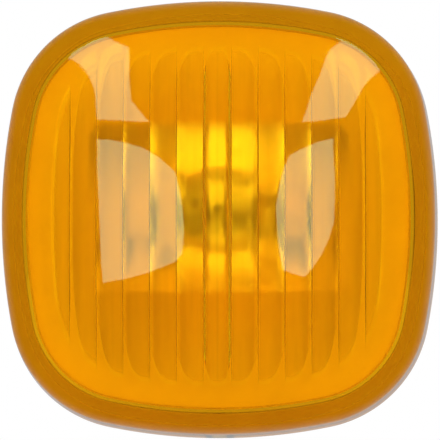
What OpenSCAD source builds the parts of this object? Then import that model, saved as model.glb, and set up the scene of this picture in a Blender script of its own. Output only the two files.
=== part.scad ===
// Side indicator lamp for a vehicle wing, with its wedge bulb and twist-in bulb holder.
// X runs to the right, Z up and Y into the vehicle. The painted panel's face is Y = 0,
// so the lens stands out towards -Y and the bulb holder lies behind the panel at +Y.

/* [Lens outline] */
// Width of the lens over its bowed sides
lens_w = 54; // [50:0.5:60]
// Height of the lens over its bowed top and bottom
lens_h = 54; // [50:0.5:60]
// Radius of the bowed left and right sides
side_bow_r = 71; // [60:1:110]
// Radius of the bowed top and bottom
top_bow_r = 68; // [60:1:110]
// Radius of the four corners
corner_r = 15.3; // [13:0.1:18]

/* [Lens body] */
// Gap between the back edge of the lens and the panel
rim_gap = 0.6; // [0.3:0.1:1.2]
// Distance from the panel to the middle of the lens front
lens_front = 13; // [12:0.1:16]
// How far the front bulges between its edge and its middle
dome_rise = 3.4; // [2.8:0.1:4]
// How much squarer than a circle the bulge is
dome_square = 0.7; // [0.4:0.05:0.8]
// Radius of the outer edge between side wall and front
edge_r = 2.6; // [1.8:0.1:2.6]
// Lean of the side wall from back edge to front edge
wall_lean = 0.4; // [0.2:0.05:0.4]
// Thickness of the front in its smooth margin
front_t = 2.2; // [1.8:0.1:2.6]
// Thickness of the side wall round the housing plate
pocket_wall = 2.2; // [1.8:0.1:2.3]
// Width of the ledge that the housing plate is welded to
ledge_w = 0.7; // [0.5:0.05:0.8]
// Lean of the inner wall from the ledge to the front
inner_lean = 0.3; // [0.1:0.05:0.3]
// Radius of the inner edge between wall and front
inner_r = 1.2; // [0.8:0.1:1.4]
// Depth of the key slot that the plate's tab fills at the bottom of the wall
key_depth = 1.4; // [1:0.1:1.5]
// Height of the gate mark left on the top edge by moulding
gate_h = 0.15; // [0.05:0.01:0.25]

/* [Lens flutes] */
// Distance from one upright flute to the next
flute_pitch = 3.24; // [2.8:0.02:3.6]
// Fall of a flute from its crest to its outer side
flute_h = 0.6; // [0.3:0.05:0.7]
// Width of the steep face between two flutes
flute_face = 0.12; // [0.08:0.01:0.2]
// Half the length of the middle flute along its crest
flute_reach = 21; // [18:0.1:21]
// Least width between the outermost flute and the side of the inside
flute_margin = 0.2; // [0.1:0.1:1.5]
// Bulge of the bed that the flutes stand on
bed_rise = 1; // [0:0.1:1.5]
// Straight steps across one flute, its steep face among them
flute_steps = 4; // [4:2:8]

/* [Housing] */
// Thickness of the plate that closes the lens
plate_t = 2; // [1.6:0.1:2.4]
// Gap round the plate inside the lens wall
plate_fit = 0.1; // [0.05:0.01:0.2]
// Width of the box behind the plate, outside
box_w = 34.2; // [33:0.1:36]
// Height of the box behind the plate, outside
box_h = 23.2; // [23:0.1:25]
// Height of the box and bulb above the middle of the lens
box_z = 1.2; // [0:0.1:1.5]
// Thickness of the box walls
box_wall = 1.6; // [1.2:0.1:1.6]
// Radius of the box corners, outside
box_r = 3; // [2:0.1:4]
// Depth of the box behind the panel
box_depth = 14; // [13:0.1:16]
// Thickness of the box's back wall
back_t = 2; // [1.6:0.1:2.4]
// Length of the collar that the holder seal sits on
collar_len = 1.5; // [1:0.1:2.5]
// Outer radius of that collar
collar_r = 10; // [9.4:0.1:10.4]
// Height of the fence that keeps the gasket in place
fence_h = 1; // [0.6:0.1:1.4]
// Thickness of that fence
fence_t = 0.8; // [0.6:0.1:0.8]

/* [Panel fixing] */
// Thickness of the panel that the lamp clips into
panel_t = 1; // [0.7:0.1:1.5]
// Play between panel and catches
catch_play = 0.3; // [0.1:0.05:0.5]
// Reach of the fixed hook behind the panel
hook_reach = 2.4; // [1.6:0.1:2.4]
// Height of the fixed hook
hook_w = 12; // [8:0.5:15]
// Thickness of the hook at its tip
hook_tip = 0.9; // [0.6:0.1:1.4]
// Length of the hook's lead-in slope
hook_slope = 3.2; // [2:0.1:4]
// Height of the guide ribs on top and bottom of the box
guide_h = 0.5; // [0.3:0.05:0.5]
// Width of a guide rib
guide_w = 1.2; // [0.8:0.1:2]
// Length of a guide rib behind the plate
guide_len = 12; // [8:0.5:12]
// Distance between the guide ribs
guide_span = 20; // [12:1:24]

/* [Retaining spring] */
// Width of the spring strip
spring_w = 9; // [7:0.5:11]
// Thickness of the spring strip
spring_t = 0.5; // [0.4:0.05:0.6]
// How far the spring bows out of the box wall
spring_bow = 2.2; // [1.6:0.1:2.2]
// Length of the bowed stretch
bow_len = 6; // [5:0.1:6.5]
// Part of a full wave that the bow covers before its free tip
bow_part = 0.8; // [0.7:0.05:0.85]
// Distance from the panel's face to the spring's free tip
tip_y = 0.5; // [0.3:0.1:1]
// Length of the foot that hooks over the back wall
foot_len = 2.4; // [1.5:0.1:3]
// Thickness of the rails that hold the spring
rail_t = 1.2; // [1:0.1:1.6]
// Overlap of a rail's lip over the spring
lip_w = 1; // [0.6:0.1:1.4]
// Play of the spring in its rails
rail_play = 0.1; // [0.05:0.01:0.15]
// Distance between the spring's bow and its rails
rail_gap = 0.5; // [0.3:0.1:1]

/* [Panel gasket] */
// Thickness of the gasket when fitted
gasket_t = 2; // [1.6:0.1:2.4]
// Width of the gasket ring
gasket_w = 3; // [2.4:0.1:3]
// Distance from the lens outline to the gasket
gasket_inset = 3; // [2.8:0.1:3.4]

/* [Bulb holder] */
// Radius of the hole in the housing that the holder turns in
hole_r = 7.5; // [7.3:0.05:7.6]
// Running clearance between holder and hole, on the radius
turn_fit = 0.08; // [0.05:0.01:0.1]
// Number of bayonet lugs
lug_n = 3; // [2:1:3]
// Width of a lug
lug_w = 3.2; // [2.6:0.1:3.6]
// Height of a lug over the barrel
lug_h = 1.7; // [1.3:0.05:1.8]
// Thickness of a lug
lug_t = 1.6; // [1.2:0.1:2]
// Clearance of a lug in its notch
lug_fit = 0.25; // [0.15:0.05:0.4]
// Clearance between the lugs and the back wall
lock_play = 0.06; // [0.03:0.01:0.1]
// Turn from locked to released, in degrees
twist = 40; // [30:1:45]
// Width of the stops beside the lugs
stop_w = 1.6; // [1.2:0.1:2]
// Clearance of a lug from its stop at the end of the turn
stop_gap = 0.15; // [0.1:0.05:0.3]
// Distance that the barrel reaches in front of the back wall
barrel_front = 2.4; // [2.2:0.1:3]
// Chamfer round the front of the barrel
barrel_cut = 0.4; // [0.2:0.1:0.6]
// Radius of the flange behind the seal
flange_r = 11; // [10.6:0.1:11.5]
// Thickness of that flange
flange_t = 2; // [1.5:0.1:3]
// Thickness of the seal between collar and flange
seal_t = 1.5; // [1:0.1:2]
// Gap between seal and collar while the holder turns
seal_gap = 0.05; // [0.03:0.01:0.1]
// Clearance of the seal round the barrel
seal_fit = 0.02; // [0.01:0.01:0.05]
// Reach of the two finger wings along Y
wing_len = 9; // [6:0.5:12]
// Width of a finger wing beside the socket
wing_w = 3.4; // [2.5:0.1:3.6]
// Thickness of a finger wing
wing_t = 2; // [1.5:0.1:2.5]

/* [Plug socket] */
// Width of the plug socket, inside
socket_w = 11; // [10.4:0.1:12]
// Height of the plug socket, inside
socket_h = 7.4; // [7:0.1:9]
// Depth of the plug socket
socket_depth = 9; // [8:0.1:12]
// Wall of the plug socket
socket_wall = 1.3; // [1:0.1:1.6]
// Radius of the socket's corners, outside
socket_r = 1.5; // [1:0.1:2]
// Thickness of the web between bulb slot and plug socket
web_t = 2.6; // [2:0.1:4]
// Width of a latch slot in the socket's top and bottom
latch_w = 3; // [2:0.1:4]
// Length of a latch slot
latch_len = 2.4; // [1.5:0.1:3]
// Distance from the socket's mouth to a latch slot
latch_inset = 2.4; // [2:0.1:3]

/* [Contacts] */
// Distance between the middles of the two contacts
contact_pitch = 6.2; // [6.2:0.1:6.6]
// Width of a contact's clip
clip_w = 2.6; // [2.2:0.1:2.8]
// Thickness of the contact strip
clip_t = 0.4; // [0.3:0.05:0.5]
// Outward flare of the clip's tips
clip_flare = 0.35; // [0.2:0.05:0.4]
// Length of the flared tips
flare_len = 1; // [0.6:0.1:1.4]
// Distance from the start of the bulb's wedge to the clip's tips
clip_inset = 1; // [0.6:0.1:1.6]
// Width of a plug blade
blade_w = 2.8; // [2.2:0.1:3.2]
// Thickness of a plug blade
blade_t = 0.8; // [0.6:0.1:1]
// Distance from the socket's mouth to the blade tips
blade_inset = 1.2; // [0.8:0.1:2]
// Clearance of a blade in the web
blade_fit = 0.05; // [0.03:0.01:0.1]
// Play of the contacts and the bulb in the holder
slot_play = 0.3; // [0.2:0.05:0.4]

/* [Bulb] */
// Radius of the round glass
glass_r = 5.1; // [4.8:0.05:5.1]
// Thickness of the glass wall
glass_t = 0.5; // [0.4:0.05:0.7]
// Distance from the panel to the bulb's tip
bulb_front = 5.5; // [4.5:0.1:6]
// Whole length of the bulb
bulb_len = 26.8; // [26:0.1:27.5]
// Width of the wedge base
wedge_w = 9.6; // [9:0.1:10]
// Thickness of the wedge base
wedge_t = 2.4; // [2.2:0.1:2.5]
// Length of the wedge base
wedge_len = 8; // [7:0.1:8.5]
// Length of the shoulder between wedge and round glass
shoulder_len = 3; // [2.5:0.1:3.5]
// How far the neck stands out over the wedge's faces
neck_over = 0.6; // [0.4:0.1:0.8]
// Length of the neck along the wedge
neck_len = 0.5; // [0.3:0.1:0.8]
// Radius of the sealed exhaust tube
exhaust_r = 1; // [0.8:0.05:1.1]
// Gain of that radius towards the round glass
exhaust_taper = 0.5; // [0.3:0.05:0.6]
// Distance from the end of the wedge to the end of that tube
exhaust_inset = 0.4; // [0.2:0.1:1]
// Radius of a lead wire
wire_r = 0.25; // [0.2:0.01:0.3]
// Clearance of a lead wire in the glass
wire_fit = 0.02; // [0.01:0.01:0.04]
// Distance from the start of the wedge to the folded ends of the lead wires
wire_back = 2; // [1.5:0.1:3]
// Distance from the panel to the filament
filament_front = -1.5; // [-3:0.1:0]
// Radius of the filament coil
coil_r = 0.45; // [0.35:0.01:0.55]
// Radius of the filament wire
coil_wire = 0.1; // [0.08:0.01:0.12]
// Turns in the filament
coil_turns = 7; // [5:1:9]
// Half the distance between the two lead wires at the filament
coil_half = 2.2; // [2:0.1:2.6]

/* [Hidden] */
$fn = 64;
over = 1; // extra length that lets a cut run out past a face
join = 0.5; // depth that an added shape sinks into the one it grows from
hair = 0.01; // smallest difference that keeps two sizes apart

// Corner circle that touches the side arc and the top arc from inside
side_c = [lens_w / 2 - side_bow_r, 0];
top_c = [0, lens_h / 2 - top_bow_r];
corner_c = circles_meet(side_c, side_bow_r - corner_r, top_c, top_bow_r - corner_r);
side_angle = atan2(corner_c[1] - side_c[1], corner_c[0] - side_c[0]);
top_angle = atan2(corner_c[1] - top_c[1], corner_c[0] - top_c[0]);

// Levels along Y
apex_y = -lens_front;
rim_y = -rim_gap;
plate_y = -gasket_t - plate_t;
back_y = box_depth;
collar_y = back_y + collar_len;
flange_y = collar_y + seal_gap + seal_t;
barrel_y = back_y - back_t - barrel_front;
bulb_y = -bulb_front;
wedge_y = bulb_y + bulb_len - wedge_len;
bulb_end = bulb_y + bulb_len;
clip_base_y = bulb_end + 2 * wire_r + slot_play;
web_y = clip_base_y + clip_t;
socket_y = web_y + web_t;
mouth_y = socket_y + socket_depth;
filament_y = -filament_front;

// Bulb holder and bulb sizes that follow from the others
barrel_r = hole_r - turn_fit;
lug_outer = hole_r + lug_h;
notch_angle = 90;
stop_angle = asin(lug_w / 2 / hole_r) + asin(stop_w / 2 / hole_r) + stop_gap / hole_r * 180 / PI;
shroud_w = socket_w + 2 * socket_wall;
shroud_h = socket_h + 2 * socket_wall;
wire_x = contact_pitch / 2;
bow_steps = 12;
wire_sides = 16;
coil_sides = 6;
coil_rings = 10;
coil_gap = 0.05;

// Lens sizes that follow from the others
ledge_wall = pocket_wall + ledge_w;
inner_wall = ledge_wall + inner_lean;
cap_inset = inner_wall + inner_r;
dome_a = lens_w / 2 - wall_lean - edge_r;
dome_b = lens_h / 2 - wall_lean - edge_r;
bed_y = apex_y + front_t + (dome_rise - bed_rise) * pow(flute_reach / dome_b, 2);
edge_steps = 4;
dome_rings = 5;
side_steps = 4;
inner_steps = 2;
bed_rows = 3;
least_bed = 0.3; // share of a column's height that its rows of flute cover at least

// Upright columns that the lens is meshed on, from the middle to the right
corner_end = corner_c[0] + (corner_r - cap_inset) * cos(side_angle);
flute_side = floor((corner_end - flute_margin) / flute_pitch - 0.5);
flute_end = (flute_side + 0.5) * flute_pitch;
right_half = concat(
    [for (k = [0:flute_steps / 2 - 1]) station(k * flute_pitch / flute_steps)],
    [for (j = [1:flute_side]) for (k = [0:flute_steps - 1]) station(flute_x(j, k))],
    [station(flute_end), station((flute_end + corner_end) / 2)],
    [for (k = [0:side_steps]) [side_c, side_bow_r, side_angle * (1 - k / side_steps)]]);
half_n = len(right_half);
col_n = 2 * half_n - 1;
ring_n = 2 * col_n - 2;
top_mid = half_n - 1;
bottom_mid = ring_n - top_mid;

// Place of step k across flute j, from its inner side over the steep face to its outer side
function flute_x(j, k) =
    let (share = k == 0 ? 0 : (k - 1) / (flute_steps - 1))
    (j - 0.5) * flute_pitch + (k == 0 ? 0 : flute_face) + share * (flute_pitch - flute_face);

// Meeting point, up and to the right, of two circles given by centre and radius
function circles_meet(p, rp, q, rq) =
    let (d = norm(q - p), a = (rp * rp - rq * rq + d * d) / (2 * d), h = sqrt(rp * rp - a * a))
    let (u = (q - p) / d)
    p + a * u + h * [u[1], -u[0]] * (u[1] - u[0] > 0 ? 1 : -1);

// Place on the outline whose inner edge lies at x, as [centre, radius, angle]
function station(x) =
    x < (top_bow_r - cap_inset) * cos(top_angle)
        ? [top_c, top_bow_r, acos(x / (top_bow_r - cap_inset))]
        : [corner_c, corner_r, acos((x - corner_c[0]) / (corner_r - cap_inset))];

// Point of a station, moved inwards from the outline by inset
function at(s, inset) = s[0] + (s[1] - inset) * [cos(s[2]), sin(s[2])];

// Point i of the closed ring at this inset: over the top from the left, back along the bottom
function ring_point(i, inset) =
    let (col = i < col_n ? i : ring_n - i, side = col - (half_n - 1))
    let (p = at(right_half[abs(side)], inset))
    [side < 0 ? -p[0] : p[0], i < col_n ? p[1] : -p[1]];

// Bulge of the front, 0 in the middle and about 1 all along its edge
function pillow(x, z) =
    let (u = x * x / (dome_a * dome_a), v = z * z / (dome_b * dome_b))
    u + v - dome_square * u * v;

function outer_dome(x, z) = apex_y + dome_rise * pillow(x, z);
function inner_dome(x, z) = outer_dome(x, z) + front_t;

// Height of the flutes across x, 0 along a crest. The middle flute is round to both sides. Each
// other flute has a steep face on its inner side and falls in a round towards its outer side.
function flute_wave(x) =
    let (a = abs(x) / flute_pitch, t = (a + 0.5 - floor(a + 0.5)) * flute_pitch)
    let (arc = max(t - flute_face, 0) / (flute_pitch - flute_face))
    -flute_h * (a < 0.5 ? 4 * a * a : max(arc * arc, 1 - t / flute_face));

// Fluted bed of the lens, above the smooth inside only in the fluted field
function bed(x, z) = bed_y + flute_wave(x) + bed_rise * pillow(x, z);
function inside(x, z) =
    abs(x) > flute_end + hair ? inner_dome(x, z) : max(inner_dome(x, z), bed(x, z));

// Half length of the fluted bed at x, or 0 where there is none
function bed_end(x) =
    let (u = x * x / (dome_a * dome_a))
    let (p = (bed_y + flute_wave(x) - apex_y - front_t) / (dome_rise - bed_rise))
    p > u ? dome_b * sqrt((p - u) / (1 - dome_square * u)) : 0;

// A ring of the lens: its inset, and its level by a fixed Y or by the dome plus a drop
function flat_ring(inset, y) = [for (i = [0:ring_n - 1])
    let (p = ring_point(i, inset)) [p[0], y, p[1]]];
function pocket_inset(i) = pocket_wall - (abs(i - bottom_mid) <= 1 ? key_depth : 0);
function pocket_ring(y) = [for (i = [0:ring_n - 1])
    let (p = ring_point(i, pocket_inset(i))) [p[0], y, p[1]]];
function rim_ring() = [for (i = [0:ring_n - 1])
    let (p = ring_point(i, i == top_mid ? -gate_h : 0)) [p[0], rim_y, p[1]]];
function outer_ring(inset, drop) = [for (i = [0:ring_n - 1])
    let (p = ring_point(i, inset)) [p[0], outer_dome(p[0], p[1]) + drop, p[1]]];
function dome_ring(f) = [for (i = [0:ring_n - 1])
    let (p = ring_point(i, wall_lean + edge_r) * f) [p[0], outer_dome(p[0], p[1]), p[1]]];

lens_rings = concat(
    [for (k = [1:dome_rings]) dome_ring(k / dome_rings)],
    [for (k = [edge_steps - 1:-1:0])
        let (a = 90 * k / edge_steps)
        outer_ring(wall_lean + edge_r * (1 - cos(a)), edge_r * (1 - sin(a)))],
    [rim_ring(), pocket_ring(rim_y), pocket_ring(plate_y), flat_ring(ledge_wall, plate_y)],
    [for (k = [0:inner_steps])
        let (a = 90 * k / inner_steps)
        outer_ring(inner_wall + inner_r * (1 - cos(a)), front_t + inner_r * (1 - sin(a)))]);

// Rows of the inside between top and bottom edge, ending where the flutes run out
function rows(x, top) =
    let (end = max(bed_end(x), least_bed * top))
    concat([(top + end) / 2], [for (k = [0:bed_rows]) end * (1 - k / bed_rows)],
        [for (k = [1:bed_rows]) -end * k / bed_rows], [-(top + end) / 2]);
row_n = 2 * bed_rows + 3;
cap_points = [for (c = [1:col_n - 2])
    let (p = ring_point(c, cap_inset))
    for (z = rows(p[0], p[1])) [p[0], inside(p[0], z), z]];

ring_count = len(lens_rings);
apex_id = ring_count * ring_n;
cap_id = apex_id + 1;
last_ring = (ring_count - 1) * ring_n;

// Number of the inside's point in column c and row r, where rows 0 and row_n + 1 are the edge
function cap_point(c, r) =
    r == 0 ? last_ring + c
    : r == row_n + 1 ? last_ring + (ring_n - c) % ring_n
    : cap_id + (c - 1) * row_n + r - 1;

lens_points = concat([for (r = lens_rings) each r], [[0, apex_y, 0]], cap_points);
lens_faces = concat(
    [for (i = [0:ring_n - 1]) [apex_id, (i + 1) % ring_n, i]],
    [for (k = [0:ring_count - 2]) for (i = [0:ring_n - 1])
        let (j = (i + 1) % ring_n)
        each split(k * ring_n + i, k * ring_n + j, (k + 1) * ring_n + j, (k + 1) * ring_n + i)],
    [for (c = [1:col_n - 3]) for (r = [0:row_n])
        each split(cap_point(c, r), cap_point(c + 1, r),
            cap_point(c + 1, r + 1), cap_point(c, r + 1))],
    [for (r = [0:row_n]) [last_ring, cap_point(1, r), cap_point(1, r + 1)]],
    [for (r = [0:row_n]) [last_ring + col_n - 1, cap_point(col_n - 2, r + 1), cap_point(col_n - 2, r)]]);

function split(a, b, c, d) = [[a, b, c], [a, c, d]];

// Closed outline of the lens, moved inwards by inset
module outline(inset) {
    polygon([for (i = [0:ring_n - 1]) ring_point(i, inset)]);
}

// Outline of the housing plate, with the tab that fills the lens's key slot
module plate_outline() {
    polygon([for (i = [0:ring_n - 1]) ring_point(i, pocket_inset(i) + plate_fit)]);
}

// Solid between two levels along Y, from a flat shape whose second axis is Z
module along_y(from, to) {
    translate([0, to, 0])
        rotate([90, 0, 0])
            linear_extrude(to - from)
                children();
}

// Round solid about the bulb's axis, from a half profile of [radius, Y] points
module turned(profile) {
    translate([0, 0, box_z])
        rotate([-90, 0, 0])
            rotate_extrude()
                polygon(profile);
}

// Flat rectangle with round corners
module round_rect(w, h, r) {
    for (sx = [-1, 1])
        for (sy = [-1, 1])
            translate([sx * (w / 2 - r), sy * (h / 2 - r)])
                circle(r);
    square([w - 2 * r, h], center = true);
    square([w, h - 2 * r], center = true);
}

// Outline of a bent strip of thickness t along a centre line
function unit(v) = v / norm(v);
function turn_of(line, i) =
    let (a = unit(line[i] - line[max(i - 1, 0)] + (i == 0 ? line[1] - line[0] : [0, 0])))
    let (e = len(line) - 1)
    let (b = unit(line[min(i + 1, e)] - line[i] + (i == e ? line[e] - line[e - 1] : [0, 0])))
    let (m = unit(a + b))
    [-m[1], m[0]] / (a * m);
function strip(line, t) = concat(
    [for (i = [0:len(line) - 1]) line[i] + turn_of(line, i) * t / 2],
    [for (i = [len(line) - 1:-1:0]) line[i] - turn_of(line, i) * t / 2]);

module lens() {
    color("orange")
        polyhedron(lens_points, lens_faces, convexity = 6);
}

// Flat row of lug shapes about the bulb's axis
module lug_row(width, outer_r, start) {
    intersection() {
        circle(outer_r);
        for (i = [0:lug_n - 1])
            rotate(start + 360 * i / lug_n)
                translate([0, -width / 2])
                    square([outer_r, width]);
    }
}

// Stops inside the back wall, one each side of the turn of each lug
module stops() {
    along_y(back_y - back_t - lug_t, back_y - back_t)
        difference() {
            union() {
                lug_row(stop_w, lug_outer, notch_angle - stop_angle);
                lug_row(stop_w, lug_outer, notch_angle + twist + stop_angle);
            }
            circle(hole_r + 2 * turn_fit);
        }
}

// Fixed hook on the left of the box, sloped so that it leads into the panel
module hook() {
    y0 = panel_t + catch_play;
    y1 = y0 + hook_tip + hook_slope;
    translate([-box_w / 2, 0, box_z - hook_w / 2])
        linear_extrude(hook_w)
            polygon([[join, y0], [-hook_reach, y0], [-hook_reach, y0 + hook_tip], [0, y1], [join, y1]]);
}

// The two lipped rails that hold the fixed leg of the spring
module rails() {
    gap = spring_w / 2 + rail_play;
    lip_x = spring_t + 2 * rail_play;
    along_y(tip_y + bow_len + rail_gap, back_y - back_t)
        translate([box_w / 2, box_z])
            for (side = [0, 1])
                mirror([0, side])
                    polygon([[-join, gap], [lip_x, gap], [lip_x, gap - lip_w],
                        [lip_x + rail_t, gap - lip_w], [lip_x + rail_t, gap + rail_t],
                        [-join, gap + rail_t]]);
}

module housing() {
    box_in_w = box_w - 2 * box_wall;
    box_in_h = box_h - 2 * box_wall;
    color("white")
        union() {
            difference() {
                union() {
                    along_y(plate_y, -gasket_t)
                        plate_outline();
                    along_y(plate_y, back_y)
                        translate([0, box_z])
                            round_rect(box_w, box_h, box_r);
                    turned([[0, back_y - back_t], [collar_r, back_y - back_t],
                        [collar_r, collar_y], [0, collar_y]]);
                }
                along_y(plate_y - over, back_y - back_t)
                    translate([0, box_z])
                        round_rect(box_in_w, box_in_h, box_r - box_wall);
                along_y(back_y - back_t - over, collar_y + over)
                    translate([0, box_z]) {
                        circle(hole_r);
                        lug_row(lug_w + 2 * lug_fit, lug_outer + lug_fit, notch_angle);
                    }
            }
            along_y(-gasket_t - join, -gasket_t + fence_h)
                difference() {
                    outline(gasket_inset + gasket_w + plate_fit);
                    outline(gasket_inset + gasket_w + plate_fit + fence_t);
                }
            translate([0, 0, box_z])
                stops();
            hook();
            rails();
            for (sx = [-1, 1])
                for (side = [0, 1])
                    translate([sx * guide_span / 2 - guide_w / 2, -gasket_t - join, box_z])
                        mirror([0, 0, side])
                            translate([0, 0, box_h / 2 - join])
                                cube([guide_w, join + guide_len, join + guide_h]);
        }
}

module panel_gasket() {
    color("dimgray")
        along_y(-gasket_t, 0)
            difference() {
                outline(gasket_inset);
                outline(gasket_inset + gasket_w);
            }
}

module retaining_spring() {
    rest_x = rail_play + spring_t / 2;
    foot_y = back_y + rail_play + spring_t / 2;
    line = concat(
        [[rest_x - foot_len, foot_y], [rest_x, foot_y], [rest_x, tip_y + bow_len]],
        [for (k = [1:bow_steps])
            let (s = bow_part * k / bow_steps)
            [rest_x + spring_bow * (1 - cos(360 * s)) / 2, tip_y + bow_len * (1 - k / bow_steps)]]);
    color("silver")
        translate([box_w / 2, 0, box_z - spring_w / 2])
            linear_extrude(spring_w)
                polygon(strip(line, spring_t));
}

module bulb_holder() {
    recess_r = glass_r + slot_play;
    slot_w = wedge_w + 2 * slot_play;
    slot_h = wedge_t + 4 * wire_r + 2 * clip_t + 2 * slot_play + 2 * clip_flare;
    color("dimgray")
        difference() {
            union() {
                turned([[0, barrel_y], [barrel_r - barrel_cut, barrel_y],
                    [barrel_r, barrel_y + barrel_cut], [barrel_r, flange_y], [flange_r, flange_y],
                    [flange_r, flange_y + flange_t], [0, flange_y + flange_t]]);
                along_y(back_y - back_t - lock_play - lug_t, back_y - back_t - lock_play)
                    translate([0, box_z])
                        lug_row(lug_w, lug_outer, notch_angle + twist);
                along_y(flange_y, mouth_y)
                    translate([0, box_z])
                        round_rect(shroud_w, shroud_h, socket_r);
                for (side = [0, 1])
                    mirror([side, 0, 0])
                        translate([shroud_w / 2 - join, flange_y + join, box_z - wing_t / 2])
                            cube([join + wing_w, wing_len, wing_t]);
            }
            translate([0, barrel_y - over, box_z])
                rotate([-90, 0, 0])
                    cylinder(r = recess_r, h = wedge_y - barrel_y + over);
            along_y(barrel_y, web_y)
                translate([0, box_z])
                    square([slot_w, slot_h], center = true);
            along_y(socket_y, mouth_y + over)
                translate([0, box_z])
                    round_rect(socket_w, socket_h, socket_r / 2);
            for (s = [-1, 1])
                along_y(web_y - over, socket_y + over)
                    translate([s * contact_pitch / 2, box_z])
                        square([blade_t + 2 * blade_fit, blade_w + 2 * blade_fit], center = true);
            translate([-latch_w / 2, mouth_y - latch_inset - latch_len, box_z - shroud_h])
                cube([latch_w, latch_len, 2 * shroud_h]);
        }
}

module holder_seal() {
    color("black")
        turned([[barrel_r + seal_fit, flange_y - seal_t], [collar_r, flange_y - seal_t],
            [collar_r, flange_y], [barrel_r + seal_fit, flange_y]]);
}

// Contact with its clip about the wedge base; s is 1 on the right and -1 on the left
module contact(s) {
    near = wedge_t / 2 + clip_t / 2 + wire_fit;
    far = near + 2 * wire_r + wire_fit;
    tip = wedge_y + clip_inset;
    base = clip_base_y + clip_t / 2;
    line = [[tip, -near - clip_flare], [tip + flare_len, -near], [base, -near],
        [base, far], [tip + flare_len, far], [tip, far + clip_flare]];
    color("goldenrod")
        translate([0, 0, box_z])
            rotate([0, s > 0 ? 0 : 180, 0])
                translate([contact_pitch / 2, 0, 0]) {
                    translate([clip_w / 2, 0, 0])
                        rotate([0, -90, 0])
                            linear_extrude(clip_w)
                                polygon([for (p = strip(line, clip_t)) [p[1], p[0]]]);
                    translate([-blade_t / 2, clip_base_y, -blade_w / 2])
                        cube([blade_t, mouth_y - blade_inset - clip_base_y, blade_w]);
                }
}

module contact_left() {
    contact(-1);
}

module contact_right() {
    contact(1);
}

// Half profile of a capsule that ends in a shoulder, as [radius, Y] points
function capsule(r, front, back, neck_r, neck_y) = concat(
    [for (a = [0:6:90]) [r * sin(a), front + r * (1 - cos(a))]],
    [[r, back], [neck_r, neck_y], [0, neck_y]]);

module bulb_glass() {
    color("lightcyan")
        difference() {
            union() {
                turned(capsule(glass_r, bulb_y, wedge_y - shoulder_len, wedge_t / 2 + neck_over,
                    wedge_y + neck_len));
                along_y(wedge_y - shoulder_len / 2, bulb_end)
                    translate([0, box_z])
                        square([wedge_w, wedge_t], center = true);
                turned([[0, wedge_y], [exhaust_r + exhaust_taper, wedge_y],
                    [exhaust_r, bulb_end - exhaust_inset], [0, bulb_end - exhaust_inset]]);
            }
            turned(capsule(glass_r - glass_t, bulb_y + glass_t, wedge_y - shoulder_len - glass_t,
                wedge_t / 2, wedge_y - shoulder_len / 2));
            for (s = [-1, 1])
                translate([s * wire_x, wedge_y - shoulder_len - over, box_z])
                    rotate([-90, 0, 0])
                        cylinder(r = wire_r + wire_fit, h = wedge_len + shoulder_len + 2 * over);
        }
}

// Round wire along a list of points, a hair fuller at its bends
module wire(line, r) {
    for (i = [0:len(line) - 2]) {
        v = line[i + 1] - line[i];
        translate(line[i])
            rotate([0, acos(v[2] / norm(v)), atan2(v[1], v[0])])
                cylinder(r = r, h = norm(v), $fn = wire_sides);
        translate(line[i + 1])
            sphere(r + hair, $fn = wire_sides);
    }
    translate(line[0])
        sphere(r + hair, $fn = wire_sides);
}

// Lead wire from the filament through the pinch and round to its outer face
module lead_wire(s) {
    fold_z = s * (wedge_t / 2 + wire_r + wire_fit);
    fold_y = bulb_end + wire_r + wire_fit;
    color("silver")
        translate([0, 0, box_z])
            wire([[s * coil_half, filament_y, 0], [s * wire_x, wedge_y - shoulder_len, 0],
                [s * wire_x, fold_y, 0], [s * wire_x, fold_y, fold_z],
                [s * wire_x, wedge_y + wire_back, fold_z]], wire_r);
}

module lead_wire_left() {
    lead_wire(-1);
}

module lead_wire_right() {
    lead_wire(1);
}

// Filament as a fine coil along X between the tips of the two lead wires
module filament() {
    steps = coil_turns * coil_rings;
    span = 2 * (coil_half - wire_r - coil_gap);
    function coil_at(i) =
        let (a = 360 * i / coil_rings)
        [span * (i / steps - 0.5), coil_r * sin(a), coil_r * (cos(a) - 1)];
    function coil_point(i, j) =
        let (a = 360 * i / coil_rings, b = 360 * j / coil_sides)
        coil_at(i) + coil_wire * [sin(b), cos(b) * sin(a), cos(b) * cos(a)];
    points = [for (i = [0:steps]) for (j = [0:coil_sides - 1]) coil_point(i, j)];
    faces = concat(
        [[for (j = [0:coil_sides - 1]) j]],
        [for (i = [0:steps - 1]) for (j = [0:coil_sides - 1])
            let (k = (j + 1) % coil_sides)
            each split(i * coil_sides + j, (i + 1) * coil_sides + j,
                (i + 1) * coil_sides + k, i * coil_sides + k)],
        [[for (j = [coil_sides - 1:-1:0]) steps * coil_sides + j]]);
    color("dimgray")
        translate([0, filament_y, box_z])
            polyhedron(points, faces, convexity = 8);
}

lens();
housing();
panel_gasket();
retaining_spring();
bulb_holder();
holder_seal();
contact_left();
contact_right();
bulb_glass();
filament();
lead_wire_left();
lead_wire_right();
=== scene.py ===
"""Looks of the squarish amber side indicator lamp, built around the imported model.

X runs to the right, Z up and Y into the vehicle, in metres; the lens faces -Y.
"""

import math

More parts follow.
